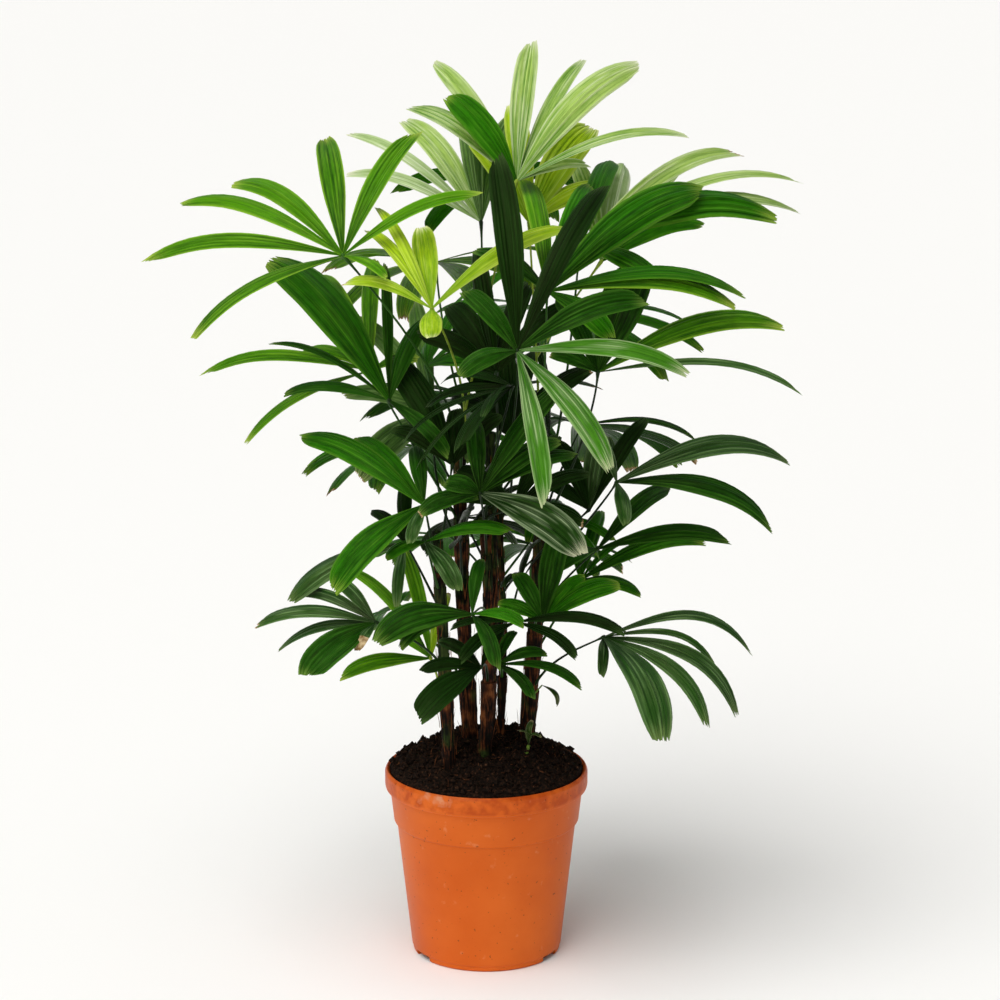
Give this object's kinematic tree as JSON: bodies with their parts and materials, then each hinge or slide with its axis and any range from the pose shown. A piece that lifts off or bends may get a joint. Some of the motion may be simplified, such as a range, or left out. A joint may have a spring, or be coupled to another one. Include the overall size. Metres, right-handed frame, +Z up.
{
  "type": "potted lady palm",
  "caption": "Lady palm with upright fibrous canes and fans of ribbed leaflets on thin petioles, standing in a filled round nursery pot.",
  "frame": {"origin": "centre of the flat underside of the pot", "axes": "+Z up along the pot's axis, -Y towards the front of the plant, +X to the right of one who looks at its front"},
  "size_m": [0.7737, 0.7122, 1.0731],
  "materials": {
    "pot_plastic": "smooth moulded nursery-pot plastic, terracotta orange, slightly satin, with pale scuffs",
    "potting_soil": "loose dark potting soil with fibres and bark chips",
    "cane_bark": "brown fibrous cane with reddish sheath hairs",
    "leaf_bright": "ribbed bright green leaf, satin",
    "leaf_mid": "ribbed green leaf, satin",
    "leaf_dark": "ribbed dark green leaf, satin",
    "leaf_lime": "young yellow-green leaf, satin",
    "leaf_pale": "pale young leaf, satin",
    "leaf_olive": "olive green leaf, satin"
  },
  "bodies": {
    "root": {"pot": "pot_plastic", "soil": "potting_soil", "cane_1": "cane_bark", "cane_2": "cane_bark", "cane_3": "cane_bark", "cane_4": "cane_bark", "cane_5": "cane_bark", "cane_6": "cane_bark", "frond_a": "leaf_bright", "frond_b": "leaf_lime", "frond_c": "leaf_dark", "frond_d": "leaf_pale", "frond_t": "leaf_bright", "frond_u": "leaf_dark", "frond_v2": "leaf_bright", "frond_e": "leaf_dark", "frond_s": "leaf_dark", "frond_f": "leaf_bright", "frond_r": "leaf_dark", "frond_m": "leaf_dark", "frond_q": "leaf_dark", "frond_h": "leaf_dark", "frond_g": "leaf_dark", "frond_g2": "leaf_mid", "frond_i": "leaf_mid", "frond_j": "leaf_lime", "frond_k": "leaf_dark", "frond_l": "leaf_mid", "frond_o": "leaf_mid", "frond_n": "leaf_dark", "frond_p": "leaf_mid", "frond_w": "leaf_dark", "frond_x": "leaf_dark", "frond_y": "leaf_dark", "frond_e2": "leaf_bright", "frond_v": "leaf_olive", "frond_z": "leaf_lime", "frond_z2": "leaf_pale", "frond_mm": "leaf_olive", "frond_r2": "leaf_dark", "frond_in_1": "leaf_dark", "frond_in_2": "leaf_dark", "frond_in_3": "leaf_dark", "frond_in_4": "leaf_dark", "frond_back_1": "leaf_bright", "frond_back_2": "leaf_mid", "frond_back_3": "leaf_dark", "frond_back_4": "leaf_mid", "frond_back_5": "leaf_dark", "frond_back_6": "leaf_mid", "frond_back_7": "leaf_dark", "frond_back_8": "leaf_mid", "frond_side_1": "leaf_mid", "frond_side_2": "leaf_dark", "frond_side_3": "leaf_dark", "frond_side_4": "leaf_mid", "frond_side_5": "leaf_mid"}
  },
  "joints": []
}
